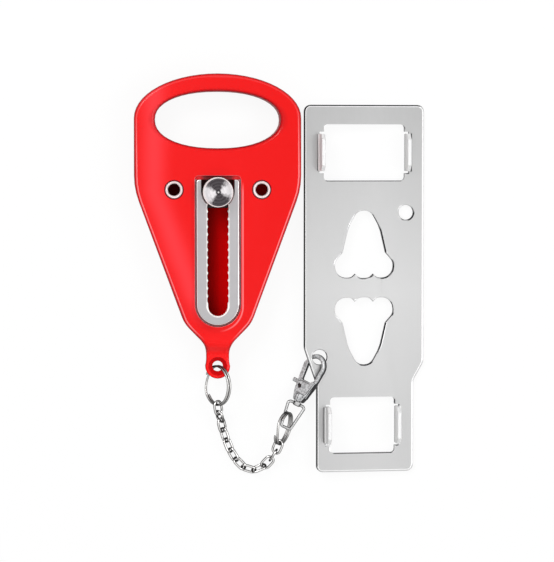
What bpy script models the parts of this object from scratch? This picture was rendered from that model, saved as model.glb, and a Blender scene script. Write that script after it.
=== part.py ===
"""Portable door lock: a red handle with a sliding, indexing knob, a chain with a trigger clasp, and a claw plate.

The lock lies on a table as it does when it is unpacked. The handle rests on its back, the chain runs from the
handle's tail to the clasp, and the clasp holds the claw plate, whose left side it props up.

Units are metres. X runs across the handle to the right, Y along it towards the grip, and Z up from the table.
The origin is on the handle's back face, on its centre line and level with its two rivets.
"""

import math

import bmesh
import bpy
from mathutils import Matrix, Vector

# Clearances and cutting
GAP = 0.0003
PIN_GAP = 0.00015
TABLE_GAP = 0.00005
OVERRUN = 0.0010

# Handle
HANDLE_LENGTH = 0.1153
HANDLE_HALF_WIDTH = 0.0315
HANDLE_THICK = 0.0130
HANDLE_TOP_Y = 0.0437
HANDLE_EDGE_R = 0.0016
ARCH_HEIGHT = 0.0168
SHOULDER_Y = 0.0003
SHOULDER_R = 0.0280
FOOT_HALF_WIDTH = 0.0127
FOOT_ABOVE_TAIL = 0.0164
FOOT_R = 0.0120
NECK_ABOVE_TAIL = 0.0078
NECK_HALF_WIDTH = 0.0043
NECK_R = 0.0080
TAIL_R = 0.0047
TAIL_SWELL = 0.0018
TAIL_THICK = 0.0050
TAIL_MID_Z = 0.0070
TAIL_HOLE_R = 0.0020
TAIL_MOUTH_R = 0.0036
TAIL_LAND = 0.0012
TAIL_SLOPE_START = 0.0094
TAIL_SLOPE_LENGTH = 0.0056
GRIP_Y = 0.0263
GRIP_HALF_WIDTH = 0.0236
GRIP_HALF_HEIGHT = 0.0107
GRIP_EDGE_R = 0.0016
GRIP_SQUARENESS_SHARE = 2.2
SKIN_THICK = 0.0023

# Knob positions along the slot
KNOB_Y = -0.0009
NOTCH_PITCH = 0.0029
NOTCH_DEPTH = 0.0004
NOTCHES = 13
FIRST_NOTCH = 2
TRAVEL_NOTCHES = 12
NOTCH_SHARES = (-0.5, -0.22, 0.22)

# Track
TRACK_HALF_WIDTH = 0.0083
TRACK_END_Y = -0.0514
TRACK_TOP_Y = 0.0040
TRACK_RECESS = 0.0006
TRACK_BASE_THICK = 0.0010
TRACK_BASE_MARGIN = 0.0016
TRACK_EDGE_R = 0.0007
HORN_R = 0.0012
SLOT_HALF_WIDTH = 0.0037
SLOT_END_Y = -0.0477
SLOT_BEVEL = 0.0003
PARKING_R = 0.00595
OPENING_GAP = 0.0003
OPENING_TOP_GAP = 0.0012
OPENING_BEVEL = 0.0004
EAR_HALF_HEIGHT = 0.0042
EAR_END = 0.0042
CORNER_R = 0.0012

# Rivets
RIVET_X = 0.0165
RIVET_BORE_R = 0.0023
RIVET_TUBE_R = 0.0027
RIVET_HEAD_R = 0.00325
RIVET_HEAD_THICK = 0.0006
RIVET_PROUD = 0.0003
RIVET_TAIL_THICK = 0.0006
RIVET_SIDES = 28

# Back cover and its screws
COVER_THICK = 0.0016
COVER_LEDGE = 0.0018
COVER_HALF_WIDTH = 0.0236
COVER_TOP_Y = 0.0120
COVER_WING_Y = -0.0150
COVER_WAIST_Y = -0.0360
COVER_R = 0.0030
COVER_WAIST_R = 0.0100
COVER_EDGE_R = 0.0003
LIP_HALF_WIDTH = 0.0040
LIP_LENGTH = 0.0012
LIP_THICK = 0.0010
POST_R = 0.0015
POST_X = 0.0066
SCREW_HEAD_R = 0.0019
SCREW_SHANK_R = 0.0009
SCREW_LENGTH = 0.0070
SCREW_HEAD_THICK = 0.0011
SCREW_SLOT_WIDTH = 0.0006
SCREW_SLOT_DEPTH = 0.0005
SCREW_UPPER_X = 0.0150
SCREW_UPPER_Y = 0.0089
SCREW_LOWER_X = 0.0165
SCREW_LOWER_Y = -0.0125

# Knob
HEAD_R = 0.00555
HEAD_THICK = 0.0025
HEAD_BEVEL = 0.0004
DIMPLE_R = 0.0008
DIMPLE_DEPTH = 0.0004
WAIST_R = 0.0030
WAIST_LENGTH = 0.0023
FLANGE_R = 0.0057
FLANGE_THICK = 0.0012
COLLAR_R = 0.00385
COLLAR_SEAT = 0.0015
SHAFT_R = 0.0016
SPIGOT_LENGTH = 0.0014
CARRIAGE_HALF_WIDTH = 0.0080
CARRIAGE_HALF_LENGTH = 0.0060
CARRIAGE_THICK = 0.0015
KNOB_LIFT = 0.0020
CLIP_R = 0.0030
CLIP_THICK = 0.0005
CLIP_GROOVE_R = 0.0011
CLIP_MOUTH = 0.0016
SHAFT_END_Z = 0.0020
SPRING_R = 0.0024
SPRING_WIRE_R = 0.0002
SPRING_TURNS = 4

# Split rings
RING_WIRE_R = 0.00045
RING_PITCH = 0.00105
RING_CROSSING = math.radians(60)
RING_STEPS = 24
RING_SEAT = 0.0009
TAIL_RING_R = 0.00745
TAIL_RING_TILT = math.radians(56)
CLASP_RING_R = 0.0063
CLASP_RING_TILT = math.radians(66)
CLASP_RING_LEAN = math.radians(17)
CLASP_RING_ASIDE = 0.00074
CLASP_RING_PAST = 0.00054

# Chain
LINKS = 12
LINK_PITCH = 0.00415
LINK_WIRE_R = 0.000475
LINK_INNER_WIDTH = 0.0023
LINK_SLACK = 0.0004
CHAIN_Z = 0.0020
RAMP_LINKS = 3
TWIST_LINKS = 4

# Trigger clasp, drawn in its own plane: across to the hook's arm, and along from the collar to the hook
CLASP_HEADING = math.radians(25.6)
CLASP_ROLL = math.radians(40)
CLASP_Z = 0.0047
CLASP_THICK = 0.0028
CLASP_EDGE = 0.0004
COLLAR_RADIUS = 0.0024
COLLAR_LENGTH = 0.0032
HOOK_CENTRE_U = 0.0144
HOOK_CENTRE_W = 0.0001
HOOK_R = 0.00425
HOOK_WIRE_R = 0.00105
HOOK_TIP_WIRE_R = 0.0008
HOOK_ROOT_ANGLE = -14
HOOK_TIP_ANGLE = 142
LEVER_PIN_W = -0.0016
LEVER_PIN_U = 0.0057
LEVER_PIN_R = 0.0006
LEVER_THICK = 0.0013
LEVER_EDGE = 0.0002
LUG_R = 0.0008
LUG_W = -0.0062
LUG_U = 0.0068
LEVER_SPRING_WIRE_R = 0.00014
SHANK_R = 0.00075
SHANK_HEAD_R = 0.0011
SHANK_HEAD_THICK = 0.0008
SHANK_LENGTH = 0.0020
BARREL_R = 0.0016
BARREL_LENGTH = 0.0016
EYE_WIRE_R = 0.00055
EYE_SHOULDER = 0.0033
EYE_TOE = 0.0019
EYE_SLANT = 0.0007
EYE_LENGTH = 0.0100
EYE_ROLL = math.radians(2)

# Outlines of the clasp's pieces, across, along and rounding, as shares of its length from collar to hook
CLASP_LENGTH = 0.01865
CLASP_BODY_SHARES = (
    (-0.1126, 0.0161, 0.0268),
    (0.1126, 0.0161, 0.0268),
    (0.1662, 0.1609, 0.2145),
    (0.2466, 0.4826, 0.0322),
    (0.1555, 0.4987, 0.0322),
    (0.1019, 0.4450, 0.0322),
    (-0.1180, 0.4450, 0.0322),
    (-0.1984, 0.3861, 0.0429),
    (-0.1823, 0.2145, 0.1609),
)
LEVER_SHARES = (
    (-0.1662, 0.2306, 0.0268),
    (-0.0322, 0.2306, 0.0268),
    (-0.0322, 0.3539, 0.0268),
    (-0.1287, 0.4718, 0.0536),
    (-0.1555, 0.8472, 0.0214),
    (-0.2198, 0.8740, 0.0214),
    (-0.2681, 0.7775, 0.0322),
    (-0.2306, 0.4558, 0.0536),
    (-0.1984, 0.3217, 0.0268),
)
HOOK_ARM_SHARES = (
    (0.1287, 0.1180),
    (0.1716, 0.3324),
    (0.2091, 0.5362),
)
LEVER_SPRING_SHARES = (
    (0.0027, 0.2359),
    (0.0054, 0.3110),
    (-0.0027, 0.3646),
    (-0.0322, 0.4021),
)
LEVER_SLOT_RIGHT = 0.0004
LEVER_SLOT_LOW = 0.0037
LEVER_SLOT_HIGH = 0.0093

# Claw plate, drawn flat from the hole that the clasp holds
PLATE_GAP = 0.0014
PLATE_THICK = 0.0015
PLATE_EDGE = 0.0002
PLATE_LEFT = 0.0060
PLATE_RIGHT = 0.0404
PLATE_TOP = 0.0960
PLATE_BOTTOM = 0.0441
PLATE_CORNER_R = 0.0025
PLATE_STEP_LEFT = 0.0048
PLATE_STEP_LEFT_TOP = 0.0035
PLATE_STEP_LEFT_END = 0.0105
PLATE_STEP_RIGHT = 0.0040
PLATE_STEP_RIGHT_TOP = 0.0023
PLATE_STEP_RIGHT_END = 0.0093
PLATE_STEP_R = 0.0050
CHAIN_HOLE_R = 0.00285
SPARE_HOLE_X = 0.0334
SPARE_HOLE_Y = 0.0551
WINDOW_R = 0.0014
UPPER_WINDOW_X = 0.0172
UPPER_WINDOW_Y = 0.07795
UPPER_WINDOW_HALF_WIDTH = 0.0156
LOWER_WINDOW_X = 0.0166
LOWER_WINDOW_Y = -0.0261
LOWER_WINDOW_HALF_WIDTH = 0.0125
WINDOW_HALF_HEIGHT = 0.0107
CLAW_LENGTH = 0.0142
CLAW_HEIGHT = 0.0056
CLAW_DROP = 0.0013
CLAW_CORNER = 0.0022
CLAW_SETBACK = 0.0002
CLAW_BEND_R = 0.0008
CLAW_NOTCH = 0.0008
PAWN_X = 0.0172
PAWN_Y = 0.0264
PAWN_LOBE_Y = 0.0038
PAWN_HEIGHT = 0.0256
PAWN_HALF_WIDTH = 0.0112
CLASP_HOLE_W = 0.0

# Outline of a pawn-shaped hole, from its dome to its lobes: across, down and rounding, as shares of its height
PAWN_SHARES = (
    (0.10, 0.000, 0.15),
    (0.235, 0.25, 0.40),
    (0.322, 0.625, 0.02),
    (0.441, 0.760, 0.13),
    (0.434, 1.000, 0.165),
    (0.190, 1.000, 0.11),
    (0.137, 0.940, 0.00),
    (0.080, 1.005, 0.12),
)

# Derived heights of the handle's stack
COVER_Z = COVER_THICK
SKIN_Z = HANDLE_THICK - SKIN_THICK
BASE_TOP_Z = SKIN_Z - GAP
BASE_Z = BASE_TOP_Z - TRACK_BASE_THICK
TRACK_TOP_Z = HANDLE_THICK - TRACK_RECESS
CARRIAGE_TOP_Z = BASE_Z - GAP
CARRIAGE_Z = CARRIAGE_TOP_Z - CARRIAGE_THICK
FLANGE_Z = TRACK_TOP_Z + GAP
WAIST_Z = FLANGE_Z + FLANGE_THICK
WAIST_TOP_Z = WAIST_Z + WAIST_LENGTH
HEAD_Z = WAIST_TOP_Z + GAP
COLLAR_Z = TRACK_TOP_Z - COLLAR_SEAT

# Derived places
TAIL_Y = HANDLE_TOP_Y - HANDLE_LENGTH + TAIL_R
KNOB_TRAVEL = TRAVEL_NOTCHES * NOTCH_PITCH
CLASP_AXIS = Vector((math.sin(CLASP_HEADING), math.cos(CLASP_HEADING), 0))
CLASP_LEVEL = Vector((math.cos(CLASP_HEADING), -math.sin(CLASP_HEADING), 0))
CLASP_ACROSS = CLASP_LEVEL * math.cos(CLASP_ROLL) + Vector((0, 0, math.sin(CLASP_ROLL)))
HOOK_TOP_U = HOOK_CENTRE_U + HOOK_R
PLATE_HOLE_Z = CLASP_Z + CLASP_HOLE_W * math.sin(CLASP_ROLL)
PLATE_TILT = math.asin((PLATE_HOLE_Z - PLATE_THICK / 2 - TABLE_GAP) / PLATE_RIGHT)
PLATE_HOLE = Vector((
    HANDLE_HALF_WIDTH + PLATE_GAP + PLATE_LEFT * math.cos(PLATE_TILT),
    TAIL_Y + NECK_ABOVE_TAIL - PLATE_STEP_LEFT,
    PLATE_HOLE_Z,
))
CLASP_ORIGIN = PLATE_HOLE - CLASP_AXIS * HOOK_TOP_U - CLASP_ACROSS * CLASP_HOLE_W


# Materials


def material(name, colour, roughness, metallic):
    made = bpy.data.materials.new(name)
    made.use_nodes = True
    shader = made.node_tree.nodes["Principled BSDF"]
    shader.inputs["Base Color"].default_value = (*colour, 1)
    shader.inputs["Roughness"].default_value = roughness
    shader.inputs["Metallic"].default_value = metallic
    return made


# Outlines: lists of (x, y) points that run anticlockwise


def arc(centre, radius, start, end, steps):
    """Points on a round stretch, from one angle to another in degrees."""
    turns = [math.radians(start + (end - start) * step / steps) for step in range(steps + 1)]
    return [(centre[0] + radius * math.cos(turn), centre[1] + radius * math.sin(turn)) for turn in turns]


def rounded(corners, step=math.radians(18)):
    """A closed outline through (x, y, radius) corners, each corner replaced by its arc."""
    points = []
    count = len(corners)
    for index, (x, y, radius) in enumerate(corners):
        here = Vector((x, y))
        back = Vector(corners[index - 1][:2]) - here
        ahead = Vector(corners[(index + 1) % count][:2]) - here
        if radius <= 0 or back.length == 0 or ahead.length == 0:
            points.append((x, y))
            continue
        back.normalize()
        ahead.normalize()
        opening = back.angle(ahead)
        turn = math.pi - opening
        if turn < math.radians(1):
            points.append((x, y))
            continue
        centre = here + (back + ahead).normalized() * radius / math.sin(opening / 2)
        first = here + back * radius / math.tan(opening / 2) - centre
        side = 1 if back.x * ahead.y - back.y * ahead.x < 0 else -1
        steps = max(1, math.ceil(turn / step))
        for number in range(steps + 1):
            angle = side * turn * number / steps
            across = first.x * math.cos(angle) - first.y * math.sin(angle)
            along = first.x * math.sin(angle) + first.y * math.cos(angle)
            points.append((centre.x + across, centre.y + along))
    return points


def mirrored(right):
    """A closed outline from its right half, which runs from a point on the centre line up to another."""
    return right + [(-x, y) for x, y in reversed(right[1:-1])]


def offset(points, distance):
    """The outline moved outwards by a distance."""
    moved = []
    for index, (x, y) in enumerate(points):
        before = (Vector((x, y)) - Vector(points[index - 1])).normalized()
        after = (Vector(points[(index + 1) % len(points)]) - Vector((x, y))).normalized()
        first = Vector((before.y, -before.x))
        second = Vector((after.y, -after.x))
        reach = (first + second) / (1 + first.dot(second))
        moved.append((x + reach.x * distance, y + reach.y * distance))
    return moved


def box_outline(left, right, bottom, top, radius=0):
    return rounded([(left, bottom, radius), (right, bottom, radius), (right, top, radius), (left, top, radius)])


# Solids


def finish(name, mesh, look):
    """An object of this mesh, shaded smooth except over its edges."""
    made = bpy.data.objects.new(name, mesh)
    bpy.context.scene.collection.objects.link(made)
    mesh.shade_smooth()
    mesh.set_sharp_from_angle(angle=math.radians(35))
    if look:
        mesh.materials.append(look)
    return made


def stack(name, layers, look=None):
    """A solid through outlines of as many points each, given as (outline, z) from the bottom up."""
    shape = bmesh.new()
    rings = [[shape.verts.new((x, y, z)) for x, y in points] for points, z in layers]
    count = len(rings[0])
    for lower, upper in zip(rings, rings[1:]):
        for index in range(count):
            after = (index + 1) % count
            shape.faces.new((lower[index], lower[after], upper[after], upper[index]))
    shape.faces.new(list(reversed(rings[0])))
    shape.faces.new(rings[-1])
    mesh = bpy.data.meshes.new(name)
    shape.to_mesh(mesh)
    shape.free()
    return finish(name, mesh, look)


def edge_layers(points, z, radius, side, steps=3):
    """Layers that round an outline's edge at z: side is 1 at a top and -1 at a bottom."""
    layers = []
    for step in range(steps + 1):
        turn = math.pi / 2 * step / steps
        reach = abs(radius) * (1 - math.cos(turn))
        height = abs(radius) * (1 - math.sin(turn))
        layers.append((offset(points, -reach if radius > 0 else reach), z - side * height))
    return layers if side > 0 else layers[::-1]


def slab(name, points, low, high, edge, look=None, steps=3):
    """A plate whose two rims are rounded by edge."""
    return stack(name, edge_layers(points, low, edge, -1, steps) + edge_layers(points, high, edge, 1, steps), look)


def prism(name, points, low, high, look=None):
    return stack(name, [(points, low), (points, high)], look)


def flared_cutter(name, points, low, high, edge, steps=3, both=True):
    """A cutter whose mouth at high, and at low if both, widens by edge in a round flare and runs past the face."""
    wide = offset(points, edge)
    layers = [(wide, low - OVERRUN)] + edge_layers(points, low, -edge, -1, steps) if both else [(points, low)]
    layers = layers + edge_layers(points, high, -edge, 1, steps) + [(wide, high + OVERRUN)]
    return stack(name, layers)


def turned(name, profile, look=None, sides=32):
    """A body of revolution about Z from (radius, z) points, bottom up. A radius of zero closes it on the axis."""
    shape = bmesh.new()
    rings = []
    for radius, z in profile:
        if radius == 0:
            rings.append([shape.verts.new((0, 0, z))])
            continue
        turns = [2 * math.pi * side / sides for side in range(sides)]
        rings.append([shape.verts.new((radius * math.cos(turn), radius * math.sin(turn), z)) for turn in turns])
    closed = profile[0][0] != 0
    pairs = list(zip(rings, rings[1:] + rings[:1])) if closed else list(zip(rings, rings[1:]))
    for lower, upper in pairs:
        for index in range(sides):
            after = (index + 1) % sides
            if len(lower) == 1:
                shape.faces.new((lower[0], upper[after], upper[index]))
            elif len(upper) == 1:
                shape.faces.new((lower[index], lower[after], upper[0]))
            else:
                shape.faces.new((lower[index], lower[after], upper[after], upper[index]))
    mesh = bpy.data.meshes.new(name)
    shape.to_mesh(mesh)
    shape.free()
    return finish(name, mesh, look)


def wire(name, points, radius, look=None, closed=False, radii=None, sides_level=2):
    """A round wire along a path of points."""
    path = bpy.data.curves.new(name, "CURVE")
    path.dimensions = "3D"
    path.bevel_depth = radius
    path.bevel_resolution = sides_level
    path.use_fill_caps = not closed
    spline = path.splines.new("POLY")
    spline.points.add(len(points) - 1)
    for number, point in enumerate(points):
        spline.points[number].co = (*point, 1)
        spline.points[number].radius = radii[number] if radii else 1
    spline.use_cyclic_u = closed
    made = bpy.data.objects.new(name, path)
    bpy.context.scene.collection.objects.link(made)
    if look:
        path.materials.append(look)
    return made


def least_gap(points, radius, apart):
    """Least gap of a wound wire to itself, between points at least half a turn of so many points apart."""
    spots = [Vector(point) for point in points]
    pairs = ((first, second) for first in range(len(spots)) for second in range(first + apart // 2, len(spots)))
    return min((spots[first] - spots[second]).length for first, second in pairs) - 2 * radius


def as_mesh(made):
    """The curve object replaced by its mesh, so that Booleans can use it."""
    graph = bpy.context.evaluated_depsgraph_get()
    mesh = bpy.data.meshes.new_from_object(made.evaluated_get(graph))
    name = made.name
    place = made.matrix_world.copy()
    shape = bmesh.new()
    shape.from_mesh(mesh)
    bmesh.ops.remove_doubles(shape, verts=shape.verts, dist=PIN_GAP / 100)
    bmesh.ops.recalc_face_normals(shape, faces=shape.faces)
    shape.to_mesh(mesh)
    shape.free()
    bpy.data.objects.remove(made)
    made = finish(name, mesh, None)
    made.matrix_world = place
    return made


def combine(made, operation, other):
    """Adds a Boolean of a helper to an object, and hides the helper."""
    other.hide_render = True
    other.display_type = "WIRE"
    other.parent = made.parent
    change = made.modifiers.new(other.name, "BOOLEAN")
    change.operation = operation
    change.solver = "EXACT"
    change.object = other


def cut(made, *cutters):
    for cutter in cutters:
        combine(made, "DIFFERENCE", cutter)


def join(made, *parts):
    for part in parts:
        combine(made, "UNION", part)


def frame_empty(name, origin, x_axis, y_axis):
    """An empty whose axes carry a sub-assembly."""
    carrier = bpy.data.objects.new(name, None)
    bpy.context.scene.collection.objects.link(carrier)
    z_axis = x_axis.cross(y_axis)
    carrier.matrix_world = Matrix.Translation(origin) @ Matrix((x_axis, y_axis, z_axis)).transposed().to_4x4()
    return carrier


def ride(carrier, *parts):
    for part in parts:
        part.parent = carrier


# Handle


def handle_outline():
    """Right half from the tail's end up to the arch's crown, then mirrored."""
    arch_y = HANDLE_TOP_Y - ARCH_HEIGHT
    tail = arc((0, TAIL_Y), TAIL_R, -90, 0, 6)
    corners = rounded([
        (0, TAIL_Y, 0),
        (TAIL_R, TAIL_Y, 0),
        (NECK_HALF_WIDTH, TAIL_Y + TAIL_SWELL, NECK_R),
        (NECK_HALF_WIDTH, TAIL_Y + NECK_ABOVE_TAIL, NECK_R),
        (FOOT_HALF_WIDTH, TAIL_Y + FOOT_ABOVE_TAIL, FOOT_R),
        (HANDLE_HALF_WIDTH, SHOULDER_Y, SHOULDER_R),
        (HANDLE_HALF_WIDTH, arch_y, 0),
        (0, arch_y, 0),
    ], step=math.radians(9))
    side = corners[2:-2]
    arch = [
        (HANDLE_HALF_WIDTH * math.cos(turn), arch_y + ARCH_HEIGHT * math.sin(turn))
        for turn in (math.pi / 2 * step / 14 for step in range(15))
    ]
    return mirrored(tail + side + arch)


def tail_thinness(y):
    """How far the section at y has sunk from the handle's thickness to the tail's, from 0 to 1."""
    down = (TAIL_Y + TAIL_SLOPE_START - y) / TAIL_SLOPE_LENGTH
    down = min(1, max(0, down))
    return down * down * (3 - 2 * down)


def handle_blank(look):
    """The moulding before its cuts: a rounded slab that thins towards the tail, closed by strips across it."""
    points = handle_outline()
    layers = edge_layers(points, 0, HANDLE_EDGE_R, -1) + edge_layers(points, HANDLE_THICK, HANDLE_EDGE_R, 1)
    shape = bmesh.new()
    rings = [[shape.verts.new((x, y, z)) for x, y in ring] for ring, z in layers]
    count = len(points)
    for lower, upper in zip(rings, rings[1:]):
        for index in range(count):
            after = (index + 1) % count
            shape.faces.new((lower[index], lower[after], upper[after], upper[index]))
    crown = count // 2
    for ring, flip in ((rings[0], True), (rings[-1], False)):
        for index in range(crown):
            strip = [ring[index], ring[index + 1]]
            for other in ((count - index - 1) % count, (count - index) % count):
                if ring[other] not in strip:
                    strip.append(ring[other])
            shape.faces.new(strip[::-1] if flip else strip)
    for vertex in shape.verts:
        sunk = tail_thinness(vertex.co.y)
        thin = TAIL_MID_Z + (vertex.co.z - HANDLE_THICK / 2) * TAIL_THICK / HANDLE_THICK
        vertex.co.z += sunk * (thin - vertex.co.z)
    mesh = bpy.data.meshes.new("handle_body")
    shape.to_mesh(mesh)
    shape.free()
    return finish("handle_body", mesh, look)


def grip_outline():
    points = []
    for step in range(44):
        turn = 2 * math.pi * step / 44
        across = math.copysign(abs(math.cos(turn)) ** (2 / GRIP_SQUARENESS_SHARE), math.cos(turn))
        up = math.copysign(abs(math.sin(turn)) ** (2 / GRIP_SQUARENESS_SHARE), math.sin(turn))
        points.append((GRIP_HALF_WIDTH * across, GRIP_Y + GRIP_HALF_HEIGHT * up))
    return points


def tail_hole_cutter():
    """Waisted hole that lets the ring lean: narrow in the middle and wide at both faces."""
    half = TAIL_THICK / 2
    cutter = turned("tail_hole_cut", [
        (0, -half - OVERRUN),
        (TAIL_MOUTH_R, -half - OVERRUN),
        (TAIL_MOUTH_R, -half),
        (TAIL_HOLE_R, -TAIL_LAND / 2),
        (TAIL_HOLE_R, TAIL_LAND / 2),
        (TAIL_MOUTH_R, half),
        (TAIL_MOUTH_R, half + OVERRUN),
        (0, half + OVERRUN),
    ], sides=24)
    cutter.location = (0, TAIL_Y, TAIL_MID_Z)
    return cutter


def tee_outline(margin):
    """The track's base: a round-ended strip with an ear to each rivet, widened by a margin."""
    half = TRACK_HALF_WIDTH + TRACK_BASE_MARGIN + margin
    ear_x = RIVET_X + EAR_END + margin
    ear_y = EAR_HALF_HEIGHT + margin
    top = KNOB_Y + CARRIAGE_HALF_LENGTH + 2 * POST_R + TRACK_BASE_MARGIN + margin
    foot = arc((0, TRACK_END_Y + TRACK_HALF_WIDTH), half, -90, 0, 10)
    corners = rounded([
        (0, TRACK_END_Y, 0),
        (half, TRACK_END_Y, 0),
        (half, -ear_y, CORNER_R),
        (ear_x, -ear_y, CORNER_R),
        (ear_x, ear_y, CORNER_R),
        (half, ear_y, CORNER_R),
        (half, top, CORNER_R),
        (0, top, 0),
    ])
    return mirrored(foot + corners[2:])


def track_outline(margin, top, radius):
    """The track's visible U, or the opening around it: a strip with a full round end."""
    half = TRACK_HALF_WIDTH + margin
    foot = arc((0, TRACK_END_Y + TRACK_HALF_WIDTH), half, -90, 0, 10)
    head = arc((half - radius, top - radius), radius, 0, 90, 4)
    return mirrored(foot + head + [(0, top)])


def screw_places():
    places = [(SCREW_UPPER_X, SCREW_UPPER_Y), (SCREW_LOWER_X, SCREW_LOWER_Y)]
    return [(side * x, y) for x, y in places for side in (-1, 1)]


def cover_outline(margin):
    half = TRACK_HALF_WIDTH + TRACK_BASE_MARGIN + GAP + COVER_LEDGE + margin
    wide = COVER_HALF_WIDTH + margin
    foot = arc((0, TRACK_END_Y + TRACK_HALF_WIDTH), half, -90, 0, 10)
    corners = rounded([
        (0, TRACK_END_Y, 0),
        (half, TRACK_END_Y, 0),
        (half, COVER_WAIST_Y, COVER_WAIST_R),
        (wide, COVER_WING_Y, COVER_R),
        (wide, COVER_TOP_Y + margin, COVER_R),
        (0, COVER_TOP_Y + margin, 0),
    ])
    return mirrored(foot + corners[2:])


def lip_place():
    """Where the cover's lip starts: the pocket's lower wall."""
    return TRACK_END_Y - TRACK_BASE_MARGIN - GAP


def handle_body(look):
    body = handle_blank(look)
    cut(
        body,
        flared_cutter("grip_cut", grip_outline(), 0, HANDLE_THICK, GRIP_EDGE_R),
        prism("cover_rebate_cut", cover_outline(GAP), -OVERRUN, COVER_Z + GAP),
        prism("pocket_cut", tee_outline(GAP), -OVERRUN, SKIN_Z),
        flared_cutter(
            "track_opening_cut",
            track_outline(OPENING_GAP, TRACK_TOP_Y + OPENING_TOP_GAP, HORN_R + OPENING_GAP),
            SKIN_Z - OVERRUN,
            HANDLE_THICK,
            OPENING_BEVEL,
            steps=2,
            both=False,
        ),
        tail_hole_cutter(),
    )
    start = lip_place()
    cut(body, prism(
        "lip_slot_cut",
        box_outline(-LIP_HALF_WIDTH - GAP, LIP_HALF_WIDTH + GAP, start - LIP_LENGTH - GAP, start + OVERRUN),
        COVER_Z,
        COVER_Z + LIP_THICK + 2 * GAP,
    ))
    for side in (-1, 1):
        seat = HANDLE_THICK + RIVET_PROUD - RIVET_HEAD_THICK - GAP
        cutter = turned("rivet_cut", [
            (0, SKIN_Z - OVERRUN),
            (RIVET_TUBE_R + GAP, SKIN_Z - OVERRUN),
            (RIVET_TUBE_R + GAP, seat),
            (RIVET_HEAD_R + GAP, seat),
            (RIVET_HEAD_R + GAP, HANDLE_THICK + OVERRUN),
            (0, HANDLE_THICK + OVERRUN),
        ], sides=RIVET_SIDES)
        cutter.location = (side * RIVET_X, 0, 0)
        cut(body, cutter)
    for x, y in screw_places():
        pilot = turned("pilot_cut", [
            (0, COVER_Z),
            (SCREW_SHANK_R + PIN_GAP, COVER_Z),
            (SCREW_SHANK_R + PIN_GAP, SCREW_LENGTH + GAP),
            (0, SCREW_LENGTH + GAP),
        ], sides=12)
        pilot.location = (x, y, 0)
        cut(body, pilot)
    return body


def back_cover(look):
    """Lid of the pocket, with four posts that carry the track and stop the carriage, and a lip at its foot."""
    rim = cover_outline(0)
    cover = stack(
        "back_cover",
        edge_layers(rim, 0, COVER_EDGE_R, -1, 2) + [(rim, COVER_Z)],
        look,
    )
    stops = (
        KNOB_Y + CARRIAGE_HALF_LENGTH + GAP + POST_R,
        KNOB_Y - KNOB_TRAVEL - CARRIAGE_HALF_LENGTH - GAP - POST_R,
    )
    for y in stops:
        for side in (-1, 1):
            post = turned("post", [
                (0, COVER_Z / 2),
                (POST_R, COVER_Z / 2),
                (POST_R, BASE_Z - GAP),
                (0, BASE_Z - GAP),
            ], sides=16)
            post.location = (side * POST_X, y, 0)
            join(cover, post)
    start = lip_place()
    root = start + 2 * LIP_LENGTH
    foot_top = COVER_Z + GAP + LIP_THICK
    join(
        cover,
        prism("lip", box_outline(-LIP_HALF_WIDTH, LIP_HALF_WIDTH, start - LIP_LENGTH, root),
              COVER_Z + GAP, foot_top),
        prism("lip_root", box_outline(-LIP_HALF_WIDTH, LIP_HALF_WIDTH, start + GAP, root),
              COVER_Z / 2, foot_top),
    )
    for x, y in screw_places():
        hole = turned("screw_hole_cut", [
            (0, -OVERRUN),
            (SCREW_HEAD_R + GAP, -OVERRUN),
            (SCREW_HEAD_R + GAP, PIN_GAP),
            (SCREW_SHANK_R + GAP, SCREW_HEAD_THICK),
            (SCREW_SHANK_R + GAP, COVER_Z + OVERRUN),
            (0, COVER_Z + OVERRUN),
        ], sides=16)
        hole.location = (x, y, 0)
        cut(cover, hole)
    return cover


def cover_screws(look):
    """Countersunk screws, heads down in the cover, each with a driver slot."""
    for number, (x, y) in enumerate(screw_places(), start=1):
        screw = turned(f"cover_screw_{number}", [
            (0, PIN_GAP),
            (SCREW_HEAD_R, PIN_GAP),
            (SCREW_SHANK_R, SCREW_HEAD_THICK),
            (SCREW_SHANK_R, SCREW_LENGTH - SCREW_SHANK_R),
            (0, SCREW_LENGTH),
        ], look, sides=12)
        screw.location = (x, y, 0)
        slot = prism(
            f"driver_slot_{number}",
            box_outline(-SCREW_HEAD_R - OVERRUN, SCREW_HEAD_R + OVERRUN, -SCREW_SLOT_WIDTH / 2, SCREW_SLOT_WIDTH / 2),
            -OVERRUN,
            SCREW_SLOT_DEPTH,
        )
        slot.location = screw.location
        slot.rotation_euler.z = math.atan2(y, x)
        cut(screw, slot)


# Track with its scalloped slot


def slot_outline():
    """Parking bay round the knob at the top, then scallops down both sides to a round end."""
    right = arc((0, SLOT_END_Y + SLOT_HALF_WIDTH), SLOT_HALF_WIDTH, -90, 0, 6)
    for number in range(NOTCHES - 1, -1, -1):
        middle = KNOB_Y - NOTCH_PITCH * (FIRST_NOTCH + number)
        for share in NOTCH_SHARES:
            bulge = 1 - (2 * share) ** 2
            right.append((SLOT_HALF_WIDTH + NOTCH_DEPTH * bulge, middle + NOTCH_PITCH * share))
    last = KNOB_Y - NOTCH_PITCH * (FIRST_NOTCH - 0.5)
    right.append((SLOT_HALF_WIDTH, last))
    start = math.degrees(math.asin((last - KNOB_Y) / PARKING_R))
    right += arc((0, KNOB_Y), PARKING_R, start, 90, 10)
    return mirrored(right)


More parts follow.
